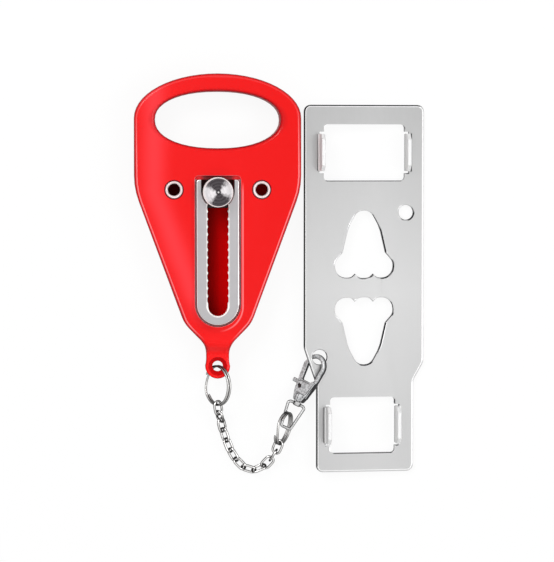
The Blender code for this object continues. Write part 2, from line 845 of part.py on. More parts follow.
def track_plate(look):
    """Steel plate under the skin, with a U-shaped rim that stands up in the opening."""
    plate = prism("track_plate", tee_outline(0), BASE_Z, BASE_TOP_Z, look)
    rim = track_outline(0, TRACK_TOP_Y, HORN_R)
    join(plate, stack(
        "track_rim",
        [(rim, BASE_Z + TRACK_BASE_THICK / 2)] + edge_layers(rim, TRACK_TOP_Z, TRACK_EDGE_R, 1),
    ))
    slot = slot_outline()
    cut(plate, flared_cutter("slot_cut", slot, BASE_Z - OVERRUN, TRACK_TOP_Z, SLOT_BEVEL, steps=1, both=False))
    cut(plate, prism(
        "horn_gap_cut",
        box_outline(-PARKING_R, PARKING_R, KNOB_Y, TRACK_TOP_Y + OVERRUN),
        BASE_TOP_Z,
        TRACK_TOP_Z + OVERRUN,
    ))
    for side in (-1, 1):
        hole = turned("ear_hole_cut", [
            (0, BASE_Z - OVERRUN),
            (RIVET_TUBE_R + GAP, BASE_Z - OVERRUN),
            (RIVET_TUBE_R + GAP, BASE_TOP_Z + OVERRUN),
            (0, BASE_TOP_Z + OVERRUN),
        ], sides=RIVET_SIDES)
        hole.location = (side * RIVET_X, 0, 0)
        cut(plate, hole)
    return plate


def rivets(look):
    """Tubular rivets that clamp the track's ears under the skin."""
    top = HANDLE_THICK + RIVET_PROUD
    foot_top = BASE_Z - GAP
    for side, name in ((-1, "rivet_left"), (1, "rivet_right")):
        rivet = turned(name, [
            (RIVET_BORE_R, foot_top - RIVET_TAIL_THICK),
            (RIVET_TUBE_R, foot_top - RIVET_TAIL_THICK),
            (RIVET_HEAD_R, foot_top - RIVET_TAIL_THICK / 2),
            (RIVET_HEAD_R, foot_top),
            (RIVET_TUBE_R, foot_top),
            (RIVET_TUBE_R, top - RIVET_HEAD_THICK),
            (RIVET_HEAD_R, top - RIVET_HEAD_THICK),
            (RIVET_HEAD_R, top - RIVET_HEAD_THICK / 2),
            ((RIVET_HEAD_R + RIVET_TUBE_R) / 2, top),
            (RIVET_TUBE_R, top - RIVET_PROUD / 2),
            (RIVET_BORE_R, top - RIVET_HEAD_THICK),
        ], look, sides=RIVET_SIDES)
        rivet.location = (side * RIVET_X, 0, 0)


# Knob, which lifts out of the scallops, and the carriage that it slides with


def knob(look_head, look_steel, look_spring):
    head_top = HEAD_Z + HEAD_THICK
    spigot_top = WAIST_TOP_Z + SPIGOT_LENGTH
    head = turned("knob_head", [
        (0, spigot_top + GAP),
        (SHAFT_R + PIN_GAP, spigot_top + GAP),
        (SHAFT_R + PIN_GAP, HEAD_Z),
        (HEAD_R - HEAD_BEVEL, HEAD_Z),
        (HEAD_R, HEAD_Z + HEAD_BEVEL),
        (HEAD_R, head_top - HEAD_BEVEL),
        (HEAD_R - HEAD_BEVEL, head_top),
        (DIMPLE_R, head_top),
        (0, head_top - DIMPLE_DEPTH),
    ], look_head, sides=40)
    groove = (SHAFT_END_Z + CLIP_THICK, SHAFT_END_Z + 2 * CLIP_THICK + 2 * GAP)
    stem = turned("knob_stem", [
        (0, SHAFT_END_Z),
        (SHAFT_R - PIN_GAP, SHAFT_END_Z),
        (SHAFT_R, SHAFT_END_Z + PIN_GAP),
        (SHAFT_R, groove[0]),
        (CLIP_GROOVE_R, groove[0]),
        (CLIP_GROOVE_R, groove[1]),
        (SHAFT_R, groove[1]),
        (SHAFT_R, COLLAR_Z),
        (COLLAR_R, COLLAR_Z),
        (COLLAR_R, FLANGE_Z),
        (FLANGE_R, FLANGE_Z),
        (FLANGE_R, WAIST_Z - HEAD_BEVEL),
        (FLANGE_R - HEAD_BEVEL, WAIST_Z),
        (WAIST_R, WAIST_Z),
        (WAIST_R, WAIST_TOP_Z),
        (SHAFT_R, WAIST_TOP_Z),
        (SHAFT_R, spigot_top),
        (0, spigot_top),
    ], look_steel, sides=28)
    carriage = slab(
        "knob_carriage",
        box_outline(
            -CARRIAGE_HALF_WIDTH, CARRIAGE_HALF_WIDTH, -CARRIAGE_HALF_LENGTH, CARRIAGE_HALF_LENGTH, CORNER_R
        ),
        CARRIAGE_Z,
        CARRIAGE_TOP_Z,
        GAP,
        look_steel,
        steps=1,
    )
    bore = turned("carriage_bore_cut", [
        (0, CARRIAGE_Z - OVERRUN),
        (SHAFT_R + GAP, CARRIAGE_Z - OVERRUN),
        (SHAFT_R + GAP, CARRIAGE_TOP_Z + OVERRUN),
        (0, CARRIAGE_TOP_Z + OVERRUN),
    ], sides=32)
    clip_low = groove[0] + GAP
    clip = turned("knob_clip", [
        (CLIP_GROOVE_R + PIN_GAP, clip_low),
        (CLIP_R, clip_low),
        (CLIP_R, clip_low + CLIP_THICK),
        (CLIP_GROOVE_R + PIN_GAP, clip_low + CLIP_THICK),
    ], look_spring, sides=24)
    mouth = prism(
        "clip_mouth_cut",
        box_outline(0, CLIP_R + OVERRUN, -CLIP_MOUTH / 2, CLIP_MOUTH / 2),
        clip_low - OVERRUN,
        clip_low + CLIP_THICK + OVERRUN,
    )
    low = clip_low + CLIP_THICK + GAP + SPRING_WIRE_R
    high = CARRIAGE_Z - GAP - SPRING_WIRE_R
    per_turn = 12
    coil = []
    for step in range(SPRING_TURNS * per_turn + 1):
        turn = 2 * math.pi * step / per_turn
        rise = (high - low) * step / (SPRING_TURNS * per_turn)
        coil.append((SPRING_R * math.cos(turn), SPRING_R * math.sin(turn), low + rise))
    spring = wire("knob_spring", coil, SPRING_WIRE_R, look_spring, sides_level=1)
    print(f"knob_spring: least gap between its turns {least_gap(coil, SPRING_WIRE_R, per_turn) * 1000:.2f} mm")
    for piece in (head, stem, carriage, bore, clip, mouth, spring):
        piece.location = (0, KNOB_Y, 0)
    cut(carriage, bore)
    cut(clip, mouth)


# Split rings and chain


def ring_rise(length_axis, tilt):
    """Direction across a leaning ring: its side to the right of its own length rises by the tilt."""
    sideways = Vector((length_axis.y, -length_axis.x, 0))
    return sideways * math.cos(tilt) + Vector((0, 0, math.sin(tilt)))


def split_ring(name, centre, length_axis, rising_axis, radius, look):
    """Two close turns of wire with one cross-over, which lies on the ring's lower flank."""
    points = []
    axis = length_axis.cross(rising_axis)
    turns = 2 * math.pi - RING_CROSSING / 2
    steps = RING_STEPS * 2
    for step in range(steps + 1):
        travel = 2 * turns * step / steps
        share = min(1, max(0, (travel - turns + RING_CROSSING / 2) / RING_CROSSING))
        along = RING_PITCH * (share * share * (3 - 2 * share) - 1 / 2)
        turn = travel - math.pi / 2 + RING_CROSSING / 2
        spot = (length_axis * math.cos(turn) + rising_axis * math.sin(turn)) * radius + axis * along
        points.append(spot)
    ring = wire(name, points, RING_WIRE_R, look, sides_level=1)
    ring.location = centre
    return ring


def link_half_length():
    """From a link's middle to the middle of its end wire: the pitch and the neighbour's wire between them."""
    return (LINK_PITCH + 2 * LINK_WIRE_R + LINK_SLACK) / 2


def ramp_shares():
    """The share of a climb that each link of a ramp takes: gentle, steep, gentle."""
    shares = [math.sin(math.pi * (link + 0.5) / RAMP_LINKS) for link in range(RAMP_LINKS)]
    return [share / sum(shares) for share in shares]


def chain_nodes(start, end):
    """Pitch points from the tail ring to the clasp ring. Seen from above, the chain sags as an even chain does."""
    climbs = [0.0] * LINKS
    for number, share in enumerate(ramp_shares()):
        climbs[number] += (CHAIN_Z - start.z) * share
        climbs[LINKS - 1 - number] += (end.z - CHAIN_Z) * share
    lengths = [math.sqrt(LINK_PITCH**2 - climb**2) for climb in climbs]

    def headings(steepness, low_link):
        return [math.atan(steepness * (link - low_link)) for link in range(LINKS)]

    def balanced(steepness):
        """The low link that makes the chain end level with its end point."""
        low, high = -LINKS, 2 * LINKS
        for _ in range(60):
            middle = (low + high) / 2
            rise = sum(
                length * math.sin(turn) for length, turn in zip(lengths, headings(steepness, middle))
            )
            if rise > end.y - start.y:
                low = middle
            else:
                high = middle
        return headings(steepness, (low + high) / 2)

    least, most = 0.001, 20.0
    for _ in range(60):
        steepness = math.sqrt(least * most)
        run = sum(length * math.cos(turn) for length, turn in zip(lengths, balanced(steepness)))
        if run > end.x - start.x:
            least = steepness
        else:
            most = steepness
    nodes = [start.copy()]
    for length, turn, climb in zip(lengths, balanced(steepness), climbs):
        nodes.append(nodes[-1] + Vector((length * math.cos(turn), length * math.sin(turn), climb)))
    return nodes


def chain_link(name, start, end, roll, look):
    """An oval link between two pitch points, rolled about its own length."""
    ahead = (end - start).normalized()
    level = Vector((ahead.y, -ahead.x, 0)).normalized()
    above = level.cross(ahead)
    across = level * math.cos(roll) - above * math.sin(roll)
    half_width = LINK_INNER_WIDTH / 2 + LINK_WIRE_R
    straight = link_half_length() - half_width
    points = []
    for side, first in ((1, -90), (-1, 90)):
        for x, y in arc((side * straight, 0), half_width, first, first + 180, 8):
            points.append(ahead * x + across * y)
    link = wire(name, points, LINK_WIRE_R, look, closed=True)
    link.location = (start + end) / 2
    return link


def roll_against(start, end, bar):
    """The roll that lays a link square across a bar."""
    ahead = (end - start).normalized()
    level = Vector((ahead.y, -ahead.x, 0)).normalized()
    return math.atan2(level.dot(bar), level.cross(ahead).dot(bar))


def half_turn_rest(angle):
    """An angle less the half turns that bring a link back onto itself."""
    return angle - math.pi * round(angle / math.pi)


def chain(first_contact, last_contact, first_bar, last_bar, look):
    """Links that lie on alternate edges, and twist near both ends so that the end links fit their rings."""
    ahead = (last_contact - first_contact).normalized()
    onward = ahead
    for _ in range(8):
        nodes = chain_nodes(first_contact - ahead * RING_SEAT, last_contact + onward * RING_SEAT)
        ahead = (nodes[1] - nodes[0]).normalized()
        onward = (nodes[-1] - nodes[-2]).normalized()
    first = half_turn_rest(roll_against(nodes[0], nodes[1], first_bar))
    last = roll_against(nodes[-2], nodes[-1], last_bar)
    edge = math.copysign(math.pi / 4, first)
    first_twist = first - edge
    last_twist = half_turn_rest(last - edge * (-1) ** (LINKS - 1))
    for number in range(LINKS):
        roll = edge * (-1) ** number
        roll += first_twist * max(0, 1 - number / TWIST_LINKS)
        roll += last_twist * max(0, 1 - (LINKS - 1 - number) / TWIST_LINKS)
        chain_link(f"chain_link_{number + 1:02d}", nodes[number], nodes[number + 1], roll, look)


# Trigger clasp


def clasp_points(shares):
    return [tuple(CLASP_LENGTH * value for value in row) for row in shares]


def hook_path():
    """Arm, bow and tip of the hook, in the clasp's plane."""
    bow = arc((HOOK_CENTRE_W, HOOK_CENTRE_U), HOOK_R, HOOK_ROOT_ANGLE, HOOK_TIP_ANGLE, 16)
    return clasp_points(HOOK_ARM_SHARES) + bow


def clasp(look_body, look_steel):
    carrier = frame_empty("clasp_frame", CLASP_ORIGIN, CLASP_ACROSS, CLASP_AXIS)
    half = CLASP_THICK / 2
    body = slab("clasp_body", rounded(clasp_points(CLASP_BODY_SHARES)), -half, half, CLASP_EDGE, look_body, steps=2)
    path = hook_path()
    thin = HOOK_TIP_WIRE_R / HOOK_WIRE_R
    count = len(path)
    radii = [1 - (1 - thin) * max(0, (2 * number - count) / count) for number in range(count)]
    hook = as_mesh(wire("hook", [(x, y, 0) for x, y in path], HOOK_WIRE_R, radii=radii))
    collar = turned("clasp_collar", [
        (0, 0),
        (COLLAR_RADIUS - CLASP_EDGE, 0),
        (COLLAR_RADIUS, CLASP_EDGE),
        (COLLAR_RADIUS, COLLAR_LENGTH - CLASP_EDGE),
        (COLLAR_RADIUS - CLASP_EDGE, COLLAR_LENGTH),
        (0, COLLAR_LENGTH),
    ], sides=20)
    chamber_low = SHANK_LENGTH - SHANK_HEAD_THICK - GAP
    bore = turned("swivel_bore_cut", [
        (0, -OVERRUN),
        (SHANK_R + PIN_GAP, -OVERRUN),
        (SHANK_R + PIN_GAP, chamber_low),
        (SHANK_HEAD_R + GAP, chamber_low),
        (SHANK_HEAD_R + GAP, SHANK_LENGTH + GAP),
        (0, SHANK_LENGTH + GAP),
    ], sides=16)
    for piece in (collar, bore):
        piece.rotation_euler.x = -math.pi / 2
    slot = prism(
        "lever_slot_cut",
        box_outline(LUG_W, LEVER_SLOT_RIGHT, LEVER_SLOT_LOW, LEVER_SLOT_HIGH),
        -LEVER_THICK / 2 - GAP,
        LEVER_THICK / 2 + GAP,
    )
    pin_hole = turned("pin_hole_cut", [
        (0, -half - OVERRUN),
        (LEVER_PIN_R + PIN_GAP, -half - OVERRUN),
        (LEVER_PIN_R + PIN_GAP, half + OVERRUN),
        (0, half + OVERRUN),
    ], sides=16)
    pin_hole.location = (LEVER_PIN_W, LEVER_PIN_U, 0)
    lever = slab(
        "clasp_lever", rounded(clasp_points(LEVER_SHARES)), -LEVER_THICK / 2, LEVER_THICK / 2, LEVER_EDGE, look_body, steps=1
    )
    reach = LEVER_PIN_W - LUG_R - LUG_W
    lug = turned("lever_lug", [(0, 0), (LUG_R, 0), (LUG_R, reach), (0, reach)], sides=12)
    lug.rotation_euler = (0, -math.pi / 2, 0)
    lug.location = (LEVER_PIN_W - LUG_R, LUG_U, 0)
    lever_hole = turned("lever_hole_cut", [
        (0, -half - OVERRUN),
        (LEVER_PIN_R + PIN_GAP, -half - OVERRUN),
        (LEVER_PIN_R + PIN_GAP, half + OVERRUN),
        (0, half + OVERRUN),
    ], sides=16)
    lever_hole.location = (LEVER_PIN_W, LEVER_PIN_U, 0)
    pin = turned("lever_pin", [(0, -half), (LEVER_PIN_R, -half), (LEVER_PIN_R, half), (0, half)], look_steel, sides=16)
    pin.location = (LEVER_PIN_W, LEVER_PIN_U, 0)
    leaf = [(x, y, 0) for x, y in clasp_points(LEVER_SPRING_SHARES)]
    spring = wire("lever_spring", leaf, LEVER_SPRING_WIRE_R, look_steel, sides_level=1)
    ride(carrier, body, hook, collar, bore, slot, pin_hole, lever, lug, lever_hole, pin, spring)
    join(body, hook, collar)
    cut(body, bore, slot, pin_hole)
    join(lever, lug)
    cut(lever, lever_hole)
    swivel_eye(look_body)


def eye_top():
    """How far before the collar the eye's loop crosses its barrel."""
    return -GAP - BARREL_LENGTH / 2


def swivel_eye(look):
    """D-shaped eye on a shank whose head turns in the clasp's collar."""
    neck = -GAP
    eye = turned("swivel_eye", [
        (0, neck - BARREL_LENGTH),
        (BARREL_R - CLASP_EDGE, neck - BARREL_LENGTH),
        (BARREL_R, neck - BARREL_LENGTH + CLASP_EDGE),
        (BARREL_R, neck),
        (SHANK_R, neck),
        (SHANK_R, SHANK_LENGTH - SHANK_HEAD_THICK),
        (SHANK_HEAD_R, SHANK_LENGTH - SHANK_HEAD_THICK),
        (SHANK_HEAD_R, SHANK_LENGTH),
        (0, SHANK_LENGTH),
    ], look, sides=16)
    eye.rotation_euler.x = -math.pi / 2
    top = eye_top()
    loop = rounded([
        (-EYE_TOE, top - EYE_LENGTH, EYE_SLANT),
        (EYE_TOE, top - EYE_LENGTH, EYE_SLANT),
        (EYE_SHOULDER, top - EYE_SLANT, EYE_SLANT / 2),
        (EYE_SHOULDER - EYE_SLANT, top, EYE_SLANT / 2),
        (-EYE_SHOULDER + EYE_SLANT, top, EYE_SLANT / 2),
        (-EYE_SHOULDER, top - EYE_SLANT, EYE_SLANT / 2),
    ], step=math.radians(30))
    bow = as_mesh(wire("eye_loop", [(x, y, 0) for x, y in loop], EYE_WIRE_R, closed=True))
    across = CLASP_LEVEL * math.cos(EYE_ROLL) + Vector((0, 0, math.sin(EYE_ROLL)))
    ride(frame_empty("eye_frame", CLASP_ORIGIN, across, CLASP_AXIS), eye, bow)
    join(eye, bow)


# Claw plate


def pawn_outline(flip):
    """Hole that passes the knob's head and takes its waist in one of three lobes. flip turns the lobes up."""
    right = [
        (across * PAWN_HEIGHT, PAWN_HEIGHT + PAWN_LOBE_Y - down * PAWN_HEIGHT, radius * PAWN_HEIGHT)
        for across, down, radius in PAWN_SHARES
    ]
    corners = [(-x, y, radius) for x, y, radius in right] + list(reversed(right))
    points = rounded(corners, step=math.radians(20))
    if flip:
        points = [(x, -y) for x, y in reversed(points)]
    return [(PAWN_X + x, PAWN_Y + y) for x, y in points]


def window_outline(x, y, half_width):
    """Window with a small notch at both ends of each claw, where the claw was bent up."""
    reach = CLAW_SETBACK + PLATE_THICK
    under = CLAW_SETBACK + PLATE_THICK / 2
    half = CLAW_LENGTH / 2
    notch = half + CLAW_NOTCH
    right = [
        (half_width, -WINDOW_HALF_HEIGHT, WINDOW_R),
        (half_width, -notch, 0),
        (half_width + reach, -notch, CLAW_NOTCH / 3),
        (half_width + reach, -half + PLATE_EDGE, 0),
        (half_width + under, -half + PLATE_EDGE, 0),
        (half_width + under, half - PLATE_EDGE, 0),
        (half_width + reach, half - PLATE_EDGE, 0),
        (half_width + reach, notch, CLAW_NOTCH / 3),
        (half_width, notch, 0),
        (half_width, WINDOW_HALF_HEIGHT, WINDOW_R),
    ]
    left = [(-across, up, radius) for across, up, radius in reversed(right)]
    return [(x + across, y + up) for across, up in rounded(right + left)]


def claw(name, x, y):
    """Tooth that stands up from the plate, with its outer corners cut back."""
    half = CLAW_LENGTH / 2
    top = PLATE_THICK / 2 + CLAW_HEIGHT
    points = [
        (-half, -PLATE_THICK / 2 + PLATE_EDGE),
        (half, -PLATE_THICK / 2 + PLATE_EDGE),
        (half, top - CLAW_CORNER),
        (half - CLAW_CORNER, top),
        (-half + CLAW_CORNER, top),
        (-half, top - CLAW_CORNER),
    ]
    tooth = slab(name, points, -PLATE_THICK / 2, PLATE_THICK / 2, PLATE_EDGE, steps=1)
    tooth.rotation_euler = (math.pi / 2, 0, math.pi / 2)
    tooth.location = (x, y, 0)
    return tooth


def claw_bend(name, x, y, side):
    """Hollow bend between the claw's outer face and the plate, which sinks a little into both."""
    top = PLATE_THICK / 2
    face = top
    length = CLAW_LENGTH - 2 * PLATE_EDGE
    hollow = arc((face + CLAW_BEND_R, top + CLAW_BEND_R), CLAW_BEND_R, 180, 270, 4)
    points = [
        (face - PLATE_EDGE, top - PLATE_EDGE),
        (face + CLAW_BEND_R, top - PLATE_EDGE),
    ] + hollow[::-1] + [(face - PLATE_EDGE, top + CLAW_BEND_R)]
    bend = prism(name, points, -length / 2, length / 2)
    bend.rotation_euler = (math.pi / 2, 0, 0) if side > 0 else (math.pi / 2, 0, math.pi)
    bend.location = (x, y, 0)
    return bend


def round_hole(name, x, y, radius):
    return flared_cutter(
        name, arc((x, y), radius, 0, 345, 23), -PLATE_THICK / 2, PLATE_THICK / 2, PLATE_EDGE, steps=1
    )


def claw_plate(look):
    carrier = frame_empty(
        "plate_frame",
        PLATE_HOLE,
        Vector((math.cos(PLATE_TILT), 0, -math.sin(PLATE_TILT))),
        Vector((0, 1, 0)),
    )
    half = PLATE_THICK / 2
    plate = slab("claw_plate", rounded([
        (PLATE_STEP_LEFT - PLATE_LEFT, -PLATE_BOTTOM, PLATE_CORNER_R),
        (PLATE_RIGHT - PLATE_STEP_RIGHT, -PLATE_BOTTOM, PLATE_CORNER_R),
        (PLATE_RIGHT - PLATE_STEP_RIGHT, -PLATE_STEP_RIGHT_END, PLATE_STEP_R),
        (PLATE_RIGHT, -PLATE_STEP_RIGHT_TOP, PLATE_STEP_R),
        (PLATE_RIGHT, PLATE_TOP, PLATE_CORNER_R),
        (-PLATE_LEFT, PLATE_TOP, PLATE_CORNER_R),
        (-PLATE_LEFT, PLATE_STEP_LEFT_TOP, PLATE_STEP_R),
        (PLATE_STEP_LEFT - PLATE_LEFT, -PLATE_STEP_LEFT_END, PLATE_STEP_R),
    ]), -half, half, PLATE_EDGE, look, steps=1)
    windows = (
        ("upper", UPPER_WINDOW_X, UPPER_WINDOW_Y, UPPER_WINDOW_HALF_WIDTH),
        ("lower", LOWER_WINDOW_X, LOWER_WINDOW_Y, LOWER_WINDOW_HALF_WIDTH),
    )
    cutters = [
        round_hole("chain_hole_cut", 0, 0, CHAIN_HOLE_R),
        round_hole("spare_hole_cut", SPARE_HOLE_X, SPARE_HOLE_Y, CHAIN_HOLE_R),
    ]
    for name, flip in (("upper_pawn_cut", False), ("lower_pawn_cut", True)):
        cutters.append(flared_cutter(name, pawn_outline(flip), -half, half, PLATE_EDGE, steps=1))
    for name, x, y, width in windows:
        cutters.append(prism(f"{name}_window_cut", window_outline(x, y, width), -half - OVERRUN, half + OVERRUN))
    ride(carrier, plate, *cutters)
    cut(plate, *cutters)
    for name, x, y, width in windows:
        for side, place in ((-1, "left"), (1, "right")):
            middle = x + side * (width + CLAW_SETBACK + half)
            tooth = claw(f"{name}_{place}_claw", middle, y)
            bend = claw_bend(f"{name}_{place}_bend", middle, y, side)
            ride(carrier, tooth, bend)
            join(plate, tooth, bend)


# Assembly


def build():
    for old in list(bpy.data.objects):
        bpy.data.objects.remove(old)
    red = material("red_plastic", (0.80, 0.010, 0.012), 0.28, 0.0)
    satin = material("satin_steel", (0.66, 0.66, 0.65), 0.34, 1.0)
    bright = material("bright_steel", (0.80, 0.80, 0.80), 0.16, 1.0)
    turned_steel = material("turned_steel", (0.62, 0.61, 0.60), 0.24, 1.0)
    spring_steel = material("spring_steel", (0.38, 0.38, 0.40), 0.35, 1.0)
    handle_body(red)
    back_cover(red)
    cover_screws(spring_steel)
    track_plate(satin)
    rivets(bright)
    knob(turned_steel, bright, spring_steel)
    clasp(bright, spring_steel)
    claw_plate(satin)
    length_axis = Vector((0, 1, 0))
    tail_centre = Vector((0, TAIL_Y, TAIL_MID_Z)) - length_axis * TAIL_RING_R
    rise = ring_rise(length_axis, TAIL_RING_TILT)
    split_ring("tail_ring", tail_centre, length_axis, rise, TAIL_RING_R, bright)
    clasp_length = Vector((math.sin(CLASP_RING_LEAN), math.cos(CLASP_RING_LEAN), 0))
    clasp_centre = CLASP_ORIGIN + CLASP_AXIS * (eye_top() - EYE_LENGTH - CLASP_RING_PAST)
    clasp_centre -= CLASP_LEVEL * CLASP_RING_ASIDE
    clasp_centre.z = CLASP_RING_R * math.sin(CLASP_RING_TILT) + RING_WIRE_R + TABLE_GAP
    clasp_centre.z += RING_PITCH / 2 * math.cos(CLASP_RING_TILT)
    fall = ring_rise(clasp_length, -CLASP_RING_TILT)
    split_ring("clasp_ring", clasp_centre, clasp_length, fall, CLASP_RING_R, bright)
    first_contact = tail_centre - length_axis * TAIL_RING_R
    last_contact = clasp_centre - clasp_length * CLASP_RING_R
    chain(first_contact, last_contact, rise, fall, bright)


build()
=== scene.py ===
"""Looks of the portable door lock: red handle with a sliding knob, chain with a clasp, and claw plate."""

import math

import bpy
from mathutils import Matrix, Vector


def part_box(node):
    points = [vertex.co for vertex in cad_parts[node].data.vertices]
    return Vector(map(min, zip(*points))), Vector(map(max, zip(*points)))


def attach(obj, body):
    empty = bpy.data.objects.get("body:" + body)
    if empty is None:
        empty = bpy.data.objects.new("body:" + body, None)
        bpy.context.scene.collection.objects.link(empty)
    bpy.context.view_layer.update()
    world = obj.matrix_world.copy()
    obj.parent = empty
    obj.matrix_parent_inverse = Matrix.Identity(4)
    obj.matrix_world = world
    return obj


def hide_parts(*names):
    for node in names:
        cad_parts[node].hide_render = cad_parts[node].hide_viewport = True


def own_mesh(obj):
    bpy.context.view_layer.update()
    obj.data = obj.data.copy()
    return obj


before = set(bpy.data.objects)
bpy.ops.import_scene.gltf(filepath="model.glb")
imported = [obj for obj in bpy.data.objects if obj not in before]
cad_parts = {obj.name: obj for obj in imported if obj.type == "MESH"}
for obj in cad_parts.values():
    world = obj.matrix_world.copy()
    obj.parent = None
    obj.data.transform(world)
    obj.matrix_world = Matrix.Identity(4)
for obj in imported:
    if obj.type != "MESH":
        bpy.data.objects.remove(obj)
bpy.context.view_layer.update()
bpy.ops.object.select_all(action="DESELECT")
bpy.context.scene.view_settings.view_transform = "Standard"

# Camera. The photo looks almost straight down on the lock from about a metre, from a little up
# and to the left of it, so that the left and upper walls of the plate and its holes just show.
picture_width = 554
metres_a_pixel = 0.000385
sensor_width = 36
camera_place = Vector((-0.035, 0.012, 1.00))
looked_at = Vector((0.0226, -0.0347, 0.007))
camera = bpy.data.objects.new("camera", bpy.data.cameras.new("camera"))
bpy.context.scene.collection.objects.link(camera)
bpy.context.scene.camera = camera
ahead = (looked_at - camera_place).normalized()
rightward = ahead.cross(Vector((0, 1, 0))).normalized()
camera.matrix_world = Matrix((rightward, rightward.cross(ahead), -ahead)).transposed().to_4x4()
camera.location = camera_place
camera.data.sensor_width = sensor_width
camera.data.lens = sensor_width * (looked_at - camera_place).length / (picture_width * metres_a_pixel)
camera.data.clip_start = 0.01


# Table. A white sheet just below the lock, which the camera and the mirroring metal see as pure
# white but for a faint shadow. It throws little light back on the lock.
class Value:
    """A number, colour or vector among nodes, on which arithmetic adds Math nodes."""

    def __init__(self, nodes, socket):
        self.nodes = nodes
        self.socket = socket

    def __add__(self, other):
        return self.nodes.math("ADD", self, other)

    def __radd__(self, other):
        return self.nodes.math("ADD", other, self)

    def __sub__(self, other):
        return self.nodes.math("SUBTRACT", self, other)

    def __rsub__(self, other):
        return self.nodes.math("SUBTRACT", other, self)

    def __mul__(self, other):
        return self.nodes.math("MULTIPLY", self, other)

    def __rmul__(self, other):
        return self.nodes.math("MULTIPLY", other, self)


class Nodes:
    """A node tree that is being wired."""

    def __init__(self, owner):
        owner.use_nodes = True
        self.owner = owner
        self.tree = owner.node_tree

    def node(self, kind, settings, inputs, output=0):
        made = self.tree.nodes.new(kind)
        for setting, value in settings.items():
            setattr(made, setting, value)
        for socket, value in inputs.items():
            if isinstance(value, Value):
                self.tree.links.new(value.socket, made.inputs[socket])
            else:
                made.inputs[socket].default_value = value
        return Value(self, made.outputs[output])

    def end(self, kind, result):
        self.tree.links.new(result.socket, self.tree.nodes.new(kind).inputs["Surface"])

    def math(self, operation, *inputs):
        return self.node("ShaderNodeMath", {"operation": operation}, dict(enumerate(inputs)))

    def vector_math(self, operation, *inputs, output=0):
        return self.node("ShaderNodeVectorMath", {"operation": operation}, dict(enumerate(inputs)), output)

    def dot(self, vector, direction):
        return self.vector_math("DOT_PRODUCT", vector, direction, output="Value")

    def between(self, mask, low, high, start=0.0, stop=1.0):
        """Low up to where the mask is at start, high from where it is at stop."""
        return self.node(
            "ShaderNodeMapRange",
            {},
            {"Value": mask, "From Min": start, "From Max": stop, "To Min": low, "To Max": high},
        )

    def rise(self, mask, start, stop):
        return self.between(mask, 0.0, 1.0, start, stop)

    def fall(self, mask, start, stop):
        return self.between(mask, 1.0, 0.0, start, stop)

    def band(self, mask, start, full, fading, stop):
        """1 where the mask is between full and fading, and 0 before start and after stop."""
        return self.rise(mask, start, full) * self.fall(mask, fading, stop)

    def blend(self, mask, first, second):
        return self.node("ShaderNodeMix", {"data_type": "RGBA"}, {0: mask, 6: first, 7: second}, 2)

    def seen_or_mirrored(self):
        """1 for what the camera sees, directly or mirrored in metal, and 0 for what only lights."""
        seen = self.node("ShaderNodeLightPath", {}, {}, "Is Camera Ray")
        for ray in ("Is Glossy Ray", "Is Transmission Ray"):
            seen = self.math("MAXIMUM", seen, self.node("ShaderNodeLightPath", {}, {}, ray))
        return seen


just_below = -0.0002
dim_tone = (0.18, 0.18, 0.18, 1)
white_tone = (0.88, 0.88, 0.88, 1)
own_glow = 0.91
bpy.ops.mesh.primitive_plane_add(size=3, location=(0, 0, just_below))
table = bpy.context.object
table.name = "table"
sheet = Nodes(bpy.data.materials.new("white_table"))
sheet.tree.nodes.clear()
seen = sheet.seen_or_mirrored()
tone = sheet.blend(seen, dim_tone, white_tone)
matt = sheet.node("ShaderNodeBsdfDiffuse", {}, {"Color": tone})
glow = sheet.node("ShaderNodeEmission", {}, {"Strength": 1.0})
mixed = sheet.node("ShaderNodeMixShader", {}, {0: seen * own_glow, 1: matt, 2: glow})
sheet.end("ShaderNodeOutputMaterial", mixed)
table.data.materials.append(sheet.owner)

# Lamps and room. A large soft lamp stands at the upper left and a weaker one at the right. The
# room lights the lock with a pale ceiling in a bright ring and a skirting that is pale at the
# lower right. The camera and the mirroring metal see plain white in place of the room.
for name, place, size, power in (
    ("window_lamp", (-0.55, 0.60, 0.95), 0.50, 6.5),
    ("fill_lamp", (0.70, -0.10, 0.75), 0.50, 2.5),
):
    lamp = bpy.data.objects.new(name, bpy.data.lights.new(name, "AREA"))
    bpy.context.scene.collection.objects.link(lamp)
    lamp.data.size = size
    lamp.data.energy = power
    lamp.location = place
    lamp.rotation_euler = (looked_at - lamp.location).to_track_quat("-Z", "Y").to_euler()
room = Nodes(bpy.data.worlds.new("room"))
bpy.context.scene.world = room.owner
room.tree.nodes.clear()
way = room.node("ShaderNodeTexCoord", {}, {}, "Generated")
up = room.node("ShaderNodeSeparateXYZ", {}, {"Vector": way}, "Z")
lower_right = (0.7, -0.7, 0)
ceiling = room.between(up, 0.16, 0.92, 0.66, 0.76)
bright_ring = room.band(up, 0.755, 0.775, 0.80, 0.82) * 2.0
skirting = room.fall(up, 0.22, 0.30) * room.between(room.dot(way, lower_right), 0.03, 1.3, -0.3, 0.5)
light = room.node("ShaderNodeBackground", {}, {"Color": ceiling + bright_ring + skirting})
white = room.node("ShaderNodeBackground", {}, {"Color": (1, 1, 1, 1)})
mixed = room.node("ShaderNodeMixShader", {}, {0: room.seen_or_mirrored(), 1: light, 2: white})
room.end("ShaderNodeOutputWorld", mixed)


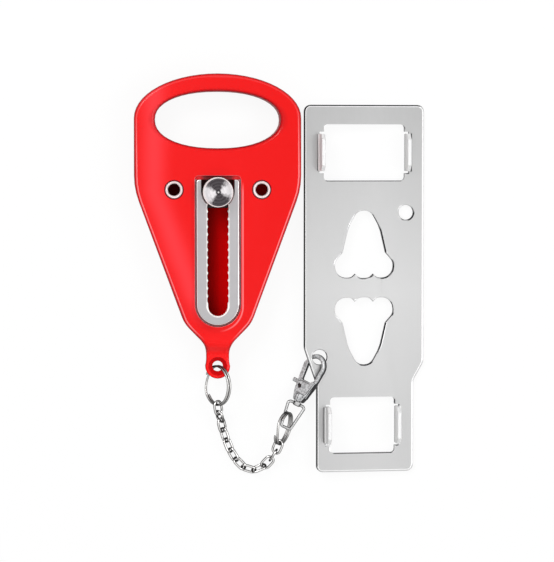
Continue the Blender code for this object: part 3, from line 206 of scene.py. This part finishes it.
# Handle moulding. It is cast in one piece of glossy red plastic, with rounded edges, an oval
# grip, a recess for the track and a thin tail. The fine grain is the mould's own.
class Finish(Nodes):
    """A material in the making, on one Principled shader."""

    def __init__(self, name, colour, roughness, metallic=0.0, shine=0.5):
        super().__init__(bpy.data.materials.new(name))
        self.shader = self.tree.nodes["Principled BSDF"]
        self.shader.inputs["Base Color"].default_value = (*colour, 1)
        self.shader.inputs["Roughness"].default_value = roughness
        self.shader.inputs["Metallic"].default_value = metallic
        self.shader.inputs["Specular IOR Level"].default_value = shine
        self.place = self.node("ShaderNodeTexCoord", {}, {}, "Object")

    def axis(self, letter, vector=None):
        return self.node("ShaderNodeSeparateXYZ", {}, {"Vector": vector or self.place}, letter)

    def facing(self, direction):
        """How far a face looks along a direction: 1 is straight along it and -1 is away."""
        return self.dot(self.node("ShaderNodeTexCoord", {}, {}, "Normal"), direction)

    def level(self):
        """How level a face lies, from 0 on a wall to 1 on a flat."""
        return self.math("ABSOLUTE", self.facing((0, 0, 1)))

    def ellipse(self, across, along, middle, half):
        """Squared distance from an ellipse's middle, which is 1 on the ellipse."""
        x = (across - middle[0]) * (1 / half[0])
        y = (along - middle[1]) * (1 / half[1])
        return x * x + y * y

    def noise(self, scale, detail=3.0, stretch=(1, 1, 1)):
        place = self.node("ShaderNodeMapping", {}, {"Vector": self.place, "Scale": stretch})
        inputs = {"Vector": place, "Scale": scale, "Detail": detail}
        return self.node("ShaderNodeTexNoise", {}, inputs, "Fac")

    def colour(self, mask, first, second):
        first = first if isinstance(first, Value) else (*first, 1)
        second = second if isinstance(second, Value) else (*second, 1)
        return self.blend(mask, first, second)

    def drive(self, socket, value):
        self.tree.links.new(value.socket, self.shader.inputs[socket])

    def dent(self, height, depth, strength=0.5):
        inputs = {"Strength": strength, "Distance": depth, "Height": height}
        self.drive("Normal", self.node("ShaderNodeBump", {}, inputs, "Normal"))

    def wear(self, patches, smooth, rough, grain, depth):
        """Let the roughness wander between two values in patches, and dent the surface finely."""
        self.drive("Roughness", self.between(patches, smooth, rough))
        self.dent(grain, depth)


def slot_distance(finish, across, along):
    """Distance from the middle line of the track's slot, beyond whose foot it runs round."""
    slot_foot = 0.0440
    below = finish.math("MINIMUM", along + slot_foot, 0.0)
    return finish.math("SQRT", across * across + below * below)


def shade_round(piece, angle):
    """Shade round over edges below an angle, with each flat face kept flat."""
    bpy.ops.mesh.customdata_custom_splitnormals_clear()
    bpy.ops.object.shade_smooth_by_angle(angle=math.radians(angle))
    weigh = piece.modifiers.new("weigh", "WEIGHTED_NORMAL")
    weigh.keep_sharp = True
    bpy.ops.object.modifier_apply(modifier=weigh.name)


def smooth_copy(node, body, finish, name, angle=38):
    """A CAD piece with its triangles joined and its round faces shaded round."""
    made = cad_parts[node].copy()
    made.data = made.data.copy()
    for key in list(made.keys()):
        del made[key]
    made.name = name
    made.parent = None
    bpy.context.scene.collection.objects.link(made)
    bpy.ops.object.select_all(action="DESELECT")
    made.select_set(True)
    bpy.context.view_layer.objects.active = made
    bpy.ops.object.mode_set(mode="EDIT")
    bpy.ops.mesh.select_all(action="SELECT")
    bpy.ops.mesh.remove_doubles(threshold=0.000002)
    bpy.ops.object.mode_set(mode="OBJECT")
    made.data.materials.clear()
    made.data.materials.append(finish.owner)
    shade_round(made, angle)
    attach(made, body)
    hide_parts(node)
    return made


red = Finish("red_moulding", (0.80, 0.006, 0.007), 0.20, shine=0.17)
across = red.axis("X")
along = red.axis("Y")
level = red.level()
cloud = red.noise(60, 2)
lit_red = (0.97, 0.26, 0.28)

# A soft painted highlight, the sheen, follows the left edge, and slants in with it below the
# rivets. The red is also painted a little lighter at the left than at the right, and paler
# towards the tail's end, as painted light.
edge_x = 0.0240
edge_slant = -0.37
sheen_sharpness = 230
slanted_in = red.math("MINIMUM", along, 0.0) * edge_slant
from_edge = (across + edge_x - slanted_in) * sheen_sharpness
sheen = red.math("EXPONENT", from_edge * from_edge * -1.0) * red.rise(along, -0.052, -0.040)
body_red = red.colour(red.rise(across, -0.020, 0.032), (0.79, 0.005, 0.006), (0.76, 0.002, 0.002))
body_red = red.colour(red.fall(along, -0.060, -0.052), body_red, (0.90, 0.006, 0.006))
body_red = red.colour(sheen * 0.85 + (cloud - 0.5) * 0.2, body_red, (0.92, 0.038, 0.048))

# A painted highlight runs along the rounded edges' crest, but not inside the grip, whose edge
# gets a band of painted shade.
grip_middle = (0, 0.0263)
inside_grip = red.fall(red.ellipse(across, along, grip_middle, (0.0262, 0.0133)), 0.97, 1.03)
crest_highlight = red.band(level, 0.80, 0.90, 0.94, 0.985) * (1.0 - inside_grip)
crest_highlight = crest_highlight * red.between(along, 1.0, 0.15, 0.012, 0.032) * red.rise(along, -0.0570, -0.0520)
body_red = red.colour(crest_highlight * 0.75, body_red, lit_red)
grip_shade = red.fall(red.ellipse(across, along, grip_middle, (0.0247, 0.0111)), 1.00, 1.16)

# Painted shade darkens the red beside the recess on the track's left, and a painted highlight
# runs along the red's lip on its right.
from_slot = slot_distance(red, across, along)
beside_track = red.fall(along, -0.0010, 0.0030)
lip_highlight = red.band(from_slot, 0.0090, 0.0093, 0.0095, 0.0098) * red.rise(across, 0.0005, 0.0070) * beside_track
lee_shade = red.fall(from_slot, 0.0086, 0.0106) * red.fall(across, -0.0040, 0.0040) * beside_track
body_red = red.colour(lee_shade * 0.35 + grip_shade * 0.45, body_red, (0.40, 0.002, 0.006))
body_red = red.colour(lip_highlight * 0.70, body_red, lit_red)

# Walls are painted dark as shade, and so is the seat round each rivet.
shaded = red.fall(level, 0.45, 0.80)
body_red = red.colour(shaded * 0.85, body_red, (0.30, 0.003, 0.007))
rivet_low, rivet_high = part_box("rivet_right")
seat_radius = 0.00372
from_rivet = red.ellipse(
    red.math("ABSOLUTE", across), along, (rivet_low + rivet_high) / 2, (seat_radius, seat_radius)
)
seat_shade = red.fall(from_rivet, 0.92, 1.06)
red.drive("Base Color", red.colour(seat_shade * 0.85, body_red, (0.12, 0.002, 0.006)))
red.drive("Roughness", red.between(cloud, 0.16, 0.26) + shaded * 0.30)
red.dent(red.noise(5200, 2), 0.00001, 0.35)
smooth_copy("handle_body", "handle", red, "red_handle")

# Back cover and its screws. The lid is moulded from the same plastic with a flatter finish,
# and four countersunk steel screws hold it. Its inner face shows through the slot, painted
# darker towards the left as shade.
lid = Finish("red_lid", (0.60, 0.001, 0.002), 0.45, shine=0.02)
# Painted shade at the left of the lid's inner face.
lit = lid.rise(lid.axis("X"), -0.0042, 0.0010)
lid.drive("Base Color", lid.colour(lit, (0.20, 0.0, 0.0), (0.80, 0.0, 0.001)))
lid.wear(lid.noise(90), 0.34, 0.44, lid.noise(3800), 0.00002)
smooth_copy("back_cover", "handle", lid, "cover_lid")

dark = Finish("screw_steel", (0.34, 0.34, 0.36), 0.34, 1.0)
dark.wear(dark.noise(700), 0.26, 0.44, dark.noise(2600), 0.00001)
for number in (1, 2, 3, 4):
    smooth_copy(f"cover_screw_{number}", "handle", dark, f"lid_screw_{number}")

# Track. A steel pressing, blasted to an even satin, whose U-shaped rim stands in the recess. The
# edges of its slot are milled into scallops and painted nearly white, their own bright metal with
# a painted highlight. Its walls and its upper end, which lies under the handle's skin, carry a
# painted reflection of the red round them and a faint painted red glow. Behind the knob, painted
# shade makes the track nearly black.
satin = Finish("satin_track", (0.46, 0.45, 0.46), 0.34, 1.0)
across = satin.axis("X")
along = satin.axis("Y")
from_middle = satin.math("ABSOLUTE", across)
level = satin.level()
fine = satin.noise(2400, 4)
# Painted highlight along the milled edges of the slot, narrower at its foot.
narrower_at_foot = satin.between(along, 0.00022, 0.0, -0.0465, -0.0445)
milled_edge_highlight = satin.fall(slot_distance(satin, across, along) + narrower_at_foot, 0.0041, 0.0045)
milled_edge_highlight = milled_edge_highlight * satin.rise(level, 0.45, 0.65)
# Painted red reflection on the walls, and a painted highlight, the glint, on the rounded rim.
walls = satin.fall(level, 0.35, 0.60)
glint = satin.band(level, 0.65, 0.80, 0.93, 0.98) * 0.6
# Painted shade: the track behind the knob is nearly black.
entry_shade = satin.fall(from_middle, 0.0062, 0.0065) * satin.rise(along, -0.0026, -0.0006)
upper_end = satin.rise(along, 0.0037, 0.0040)
under_skin = satin.rise(from_middle, 0.0050, 0.0068)
steel = satin.colour(satin.noise(240), (0.475, 0.46, 0.47), (0.43, 0.42, 0.43))
steel = satin.colour(walls, steel, (0.50, 0.12, 0.13))
steel = satin.colour(satin.math("MAXIMUM", milled_edge_highlight, glint), steel, (0.98, 0.96, 0.94))
steel = satin.colour(entry_shade, steel, (0.012, 0.004, 0.004))
# Painted red reflection on the upper end, darker between the arms, with a painted red glow there and on
# the walls.
painted_red_reflection = satin.colour(under_skin, (0.30, 0.002, 0.004), (0.66, 0.004, 0.008))
painted_red_glow = upper_end * under_skin * 0.5 + walls * 0.15
satin.drive("Base Color", satin.colour(upper_end, steel, painted_red_reflection))
satin.drive("Metallic", 1.0 - milled_edge_highlight * 0.5 - upper_end * 0.95 - walls * 0.7)
satin.drive("Emission Color", satin.colour(painted_red_glow, (0, 0, 0), (0.60, 0.0, 0.004)))
satin.shader.inputs["Emission Strength"].default_value = 1.0
satin.drive("Roughness", satin.between(fine, 0.32, 0.44) + milled_edge_highlight * 0.25)
satin.dent(fine, 0.000008)
smooth_copy("track_plate", "handle", satin, "scalloped_track", 30)

# Rivets. Two nickel-plated tubular rivets, whose ends are rolled over at the front in a dull rim,
# painted pink with a reflection of the red round it. Below the rim they are painted near-black as
# shade, their bores too.
rolled_over = Finish("rolled_nickel", (0.97, 0.86, 0.85), 0.40, 0.10)
rim = rolled_over.rise(rolled_over.axis("Z"), 0.0121, 0.0126)
blotches = rolled_over.rise(rolled_over.noise(260, 2), 0.35, 0.65)
# The nickel carries a painted pink reflection of the red, and below the rim it is painted near-black as
# shade.
nickel = rolled_over.colour(blotches, (0.80, 0.68, 0.68), (1.0, 0.87, 0.86))
rolled_over.drive("Base Color", rolled_over.colour(rim, (0.10, 0.02, 0.02), nickel))
rolled_over.wear(rolled_over.noise(420, 4), 0.30, 0.50, rolled_over.noise(1500), 0.000006)
for side in ("left", "right"):
    smooth_copy(f"rivet_{side}", "handle", rolled_over, f"tube_rivet_{side}", 50)

# Knob. The head is faced on a lathe, which leaves fine rings about its centre as a pattern and a
# bump. The fan of light such rings spread each lamp into is a painted highlight, and so is a bright
# line round the rim. It is pressed on the bright stem. The carriage under the track is painted
# near-black as shade, and the clip is plain steel.
knob_low, knob_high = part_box("knob_head")
knob_axis = (knob_low + knob_high) / 2
faced = Finish("turned_face", (0.60, 0.59, 0.57), 0.24, 1.0)
from_axis = faced.vector_math("SUBTRACT", faced.place, (knob_axis.x, knob_axis.y, 0))
flat = faced.vector_math("MULTIPLY", from_axis, (1, 1, 0))
radius = faced.vector_math("LENGTH", flat, output="Value")
turn = faced.math("ARCTAN2", faced.axis("Y", flat), faced.axis("X", flat))
wander = faced.noise(900, 2)
fine_pitch = 0.00022
broad_pitch = fine_pitch * 5.3
fan_turn = math.radians(26)
fading_rate = 1500.0
fine_rings = faced.math("SINE", radius * (2 * math.pi / fine_pitch) + wander * 2.5)
broad_rings = faced.math("SINE", radius * (2 * math.pi / broad_pitch))
fan = faced.math("COSINE", turn * 2.0 - fan_turn + (wander - 0.5) * 1.6)
fading = faced.math("COSINE", radius * fading_rate + wander * 5.0)
# Painted highlight: the fan of light across the face, a little stronger and weaker from ring to ring.
lit = faced.rise(fan, -0.30, 0.70) * faced.between(fading, 0.80, 1.0, -1.0, 1.0)
fan_and_rings = lit * 0.82 + fine_rings * 0.08 + broad_rings * 0.03 + 0.01
# Painted highlight: a bright line round the rim. The face is also painted dark round its centre, with a
# pale dot in the middle.
rim = faced.between(radius, 0.0, 0.85, 0.00515, 0.00530)
pit = faced.fall(radius, 0.00080, 0.00115)
pip = faced.between(radius, 0.7, 0.0, 0.00020, 0.00045)
face = faced.colour(fan_and_rings, (0.040, 0.033, 0.038), (0.96, 0.92, 0.94))
face = faced.colour(pit, face, (0.05, 0.045, 0.05))
face = faced.colour(faced.math("MAXIMUM", pip, rim), face, (0.97, 0.93, 0.93))
faced.drive("Base Color", face)
faced.drive("Metallic", 1.0 - rim * 0.75)
faced.drive("Roughness", faced.between(wander, 0.26, 0.36))
faced.dent(fine_rings, 0.000012, 0.35)
smooth_copy("knob_head", "knob", faced, "turned_knob", 30)

plated = Finish("bright_plating", (0.84, 0.82, 0.80), 0.16, 1.0)
plated.wear(plated.noise(420, 4), 0.12, 0.26, plated.noise(1500), 0.000006)
smooth_copy("knob_stem", "knob", plated, "knob_post", 30)

# Near-black steel, used on the carriage under the track as painted shade, and on the gate pin.
blackened_and_shade = Finish("blackened_steel", (0.030, 0.022, 0.022), 0.42, 0.6)
blackened_and_shade.wear(blackened_and_shade.noise(900), 0.34, 0.52, blackened_and_shade.noise(2200), 0.00001)
smooth_copy("knob_carriage", "carriage", blackened_and_shade, "knob_slider", 30)
smooth_copy("knob_clip", "knob", dark, "stem_clip", 30)

# Split rings, chain and spring. Round drawn wire, bent to shape. The links are plated bright, and
# the rings are duller. The wire's sides are painted dark, as shade where it turns away from the light.
wire = Finish("drawn_wire", (0.80, 0.80, 0.80), 0.15, 1.0)
# Painted shade on the wire's sides.
side_shade = wire.fall(wire.level(), 0.68, 0.95)
wire.drive("Base Color", wire.colour(side_shade, (0.76, 0.75, 0.74), (0.022, 0.020, 0.019)))
drawn = wire.noise(1300)
wire.wear(drawn, 0.14, 0.26, drawn, 0.000006)

ring_wire = Finish("ring_wire", (0.66, 0.66, 0.66), 0.32, 0.9)
# Painted shade on the ring wire's sides.
side_shade = ring_wire.fall(ring_wire.level(), 0.48, 0.97)
ring_wire.drive("Base Color", ring_wire.colour(side_shade, (0.56, 0.55, 0.54), (0.020, 0.019, 0.018)))
drawn = ring_wire.noise(1300)
ring_wire.wear(drawn, 0.28, 0.40, drawn, 0.000006)


def round_wire(node, body, finish, name, grow):
    """A wire piece subdivided to a true round, and let out by what that takes off it."""
    made = smooth_copy(node, body, finish, name, 180)
    bpy.ops.object.mode_set(mode="EDIT")
    bpy.ops.mesh.select_all(action="SELECT")
    loosely = math.radians(60)
    bpy.ops.mesh.tris_convert_to_quads(face_threshold=loosely, shape_threshold=loosely)
    bpy.ops.object.mode_set(mode="OBJECT")
    refine = made.modifiers.new("refine", "SUBSURF")
    refine.levels = 2
    refine.render_levels = 2
    bpy.ops.object.modifier_apply(modifier=refine.name)
    bpy.ops.object.mode_set(mode="EDIT")
    bpy.ops.mesh.select_all(action="SELECT")
    bpy.ops.transform.shrink_fatten(value=grow)
    bpy.ops.object.mode_set(mode="OBJECT")
    bpy.ops.object.shade_smooth()
    return made


wires = [("tail_ring", "first_ring", ring_wire, "tail_split_ring", 0.00004)]
for number in range(1, 13):
    link = f"{number:02d}"
    wires.append((f"chain_link_{link}", f"link_{link}", wire, f"oval_link_{link}", 0.00004))
wires.append(("clasp_ring", "second_ring", ring_wire, "clasp_split_ring", 0.00007))
for node, body, finish, name, grow in wires:
    round_wire(node, body, finish, name, grow)
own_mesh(round_wire("knob_spring", "knob", dark, "lift_spring", 0.00003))


# Trigger clasp. The body with its hook, the gate and the eye are castings with a mottled grey
# plating. Their sides are painted dark as shade, and so is a line round the hook's flat face. The
# gate turns on a pin, and a bent wire shuts it.
def pick_faces(piece, wanted):
    """Select the faces of a piece for which wanted says yes."""
    bpy.ops.object.mode_set(mode="EDIT")
    bpy.ops.mesh.select_mode(type="FACE")
    bpy.ops.mesh.select_all(action="DESELECT")
    bpy.ops.object.mode_set(mode="OBJECT")
    for face in piece.data.polygons:
        face.select = wanted(face)


def picked_corners(piece):
    return {corner for face in piece.data.polygons if face.select for corner in face.vertices}


def inset_picked(piece, thickness):
    """Inset the picked faces. Gives the corners of the rim left outside, and those inside."""
    outside = picked_corners(piece)
    bpy.ops.object.mode_set(mode="EDIT")
    bpy.ops.mesh.inset(thickness=thickness, depth=0.0, use_even_offset=True)
    bpy.ops.object.mode_set(mode="OBJECT")
    inside = picked_corners(piece)
    return outside - inside, inside


def faces_between(piece, rim, inside):
    """The numbers of the faces that join a rim to the corners inside it."""
    return [
        face.index
        for face in piece.data.polygons
        if rim.intersection(face.vertices) and inside.intersection(face.vertices)
    ]


def mark_edge_line(piece, numbers):
    marks = piece.data.attributes.new("edge_line", "FLOAT", "FACE")
    for number in numbers:
        marks.data[number].value = 1.0


def edge_line(finish):
    """1 on the faces that are marked as an edge line, and 0 elsewhere."""
    return finish.node("ShaderNodeAttribute", {"attribute_name": "edge_line"}, {}, "Fac")


clasp_up = Vector((-0.579687, 0.277739, 0.766044))
cast = Finish("plated_casting", (0.60, 0.60, 0.60), 0.40, 0.2, shine=0.3)
skin = cast.noise(1400, 4)
mottled = cast.colour(cast.rise(skin, 0.40, 0.60), (0.62, 0.63, 0.64), (0.34, 0.345, 0.35))
# Painted shade: dark sides, and a dark line round the hook's flat face.
edge_shade = cast.math("MAXIMUM", cast.fall(cast.facing(clasp_up), 0.45, 0.84), edge_line(cast) * 0.9)
cast.drive("Base Color", cast.colour(edge_shade, mottled, (0.022, 0.022, 0.024)))
cast.wear(skin, 0.28, 0.42, skin, 0.00003)
hook = smooth_copy("clasp_body", "clasp", cast, "hook_casting", 50)
pick_faces(hook, lambda face: face.normal.dot(clasp_up) > 0.97)
rim, inside = inset_picked(hook, 0.00028)
mark_edge_line(hook, faces_between(hook, rim, inside))
shade_round(hook, 50)

eye_cast = Finish("eye_casting_plating", (0.55, 0.55, 0.55), 0.30, 0.85)
# Painted shade on the eye's sides.
side_shade = eye_cast.fall(eye_cast.level(), 0.62, 0.96)
eye_cast.drive("Base Color", eye_cast.colour(side_shade, (0.56, 0.56, 0.56), (0.022, 0.022, 0.023)))
eye_cast.wear(eye_cast.noise(900), 0.26, 0.40, eye_cast.noise(1400), 0.00002)
smooth_copy("swivel_eye", "eye", eye_cast, "eye_casting", 50)
smooth_copy("clasp_lever", "gate", cast, "thumb_gate", 45)
smooth_copy("lever_pin", "clasp", blackened_and_shade, "gate_pin", 30)
smooth_copy("lever_spring", "clasp", dark, "gate_spring", 180)

# Claw plate. It is stamped from sheet steel and rolled bright, in faint streaks along its length.
# Its cut walls are painted dark as shade at the upper left and pale as light at the lower right.
# The claws are bent up from it, and are painted paler and less metallic than the flat, as light.
rolled = Finish("rolled_sheet", (0.50, 0.50, 0.50), 0.34, 1.0)
sheet_up = Vector((0.096535, 0, 0.99533))
sheet_top = 0.00918
along = rolled.axis("Y")
streak = rolled.noise(160, 4, (6, 1, 6))
# Painted light: the flat is lightest in its middle, darker towards its upper end and a little darker
# towards its lower end. Painted shade darkens it towards the right edge.
flat = rolled.colour(rolled.rise(along, -0.038, 0.030), (0.532, 0.532, 0.532), (0.412, 0.412, 0.412))
flat = rolled.colour(rolled.rise(along, -0.040, -0.085), flat, (0.475, 0.475, 0.475))
flat = rolled.colour((streak - 0.5) * 0.2 + 0.1, flat, (0.53, 0.53, 0.54))
right_shade = rolled.between(rolled.axis("X"), 0.0, 0.20, 0.060, 0.084)
flat = rolled.colour(right_shade, flat, (0.10, 0.10, 0.10))
# Painted shade on walls facing the upper left, except on the claws, and painted light on walls facing the
# lower right and on the marked edge line.
to_upper_left = rolled.facing((-0.6967, 0.7, 0.0676))
# The claws, above the flat, are painted paler and less metallic, as light.
claws = rolled.rise(rolled.dot(rolled.place, sheet_up), sheet_top + 0.00002, sheet_top + 0.00010)
dark_walls = rolled.rise(to_upper_left, 0.03, 0.10) * (1.0 - claws)
pale_walls = rolled.fall(to_upper_left, -0.30, -0.06)
bright = rolled.math("MAXIMUM", edge_line(rolled) * 0.8, pale_walls * 0.35)
tones = rolled.colour(bright, flat, (0.88, 0.88, 0.88))
tones = rolled.colour(claws, tones, (0.78, 0.78, 0.78))
rolled.drive("Base Color", rolled.colour(dark_walls, tones, (0.02, 0.02, 0.022)))
rolled.drive("Metallic", 1.0 - claws * 0.85)
rolled.drive("Roughness", rolled.between(streak, 0.32, 0.36) + claws * 0.12)
rolled.dent(rolled.noise(3000), 0.000004, 0.4)
plate = smooth_copy("claw_plate", "plate", rolled, "stamped_plate", 30)


# The plate's tumbled edges. The flat is inset twice along each outline. The outer rim sinks a
# little, which makes the edge round, and the step inside it gets a painted highlight line, but
# only along the plate's own outline, which is found from its leftmost step.
def on_flat(face):
    """Whether a face is part of the plate's upper flat."""
    return face.normal.dot(sheet_up) > 0.9998 and abs(face.center.dot(sheet_up) - sheet_top) < 0.00002


outer_width = 0.00030
line_width = 0.00024
sunk = 0.00008
pick_faces(plate, on_flat)
outer_rim, inside = inset_picked(plate, outer_width)
inner_rim, inside = inset_picked(plate, line_width)
for corner in outer_rim:
    plate.data.vertices[corner].co -= sheet_up * sunk
faces = plate.data.polygons
steps = faces_between(plate, inner_rim, inside)
outline = set(faces[min(steps, key=lambda number: faces[number].center.x)].vertices)
grown = 0
while grown != len(outline):
    grown = len(outline)
    for number in steps:
        if outline.intersection(faces[number].vertices):
            outline.update(faces[number].vertices)
mark_edge_line(plate, [number for number in steps if outline.issuperset(faces[number].vertices)])
shade_round(plate, 30)
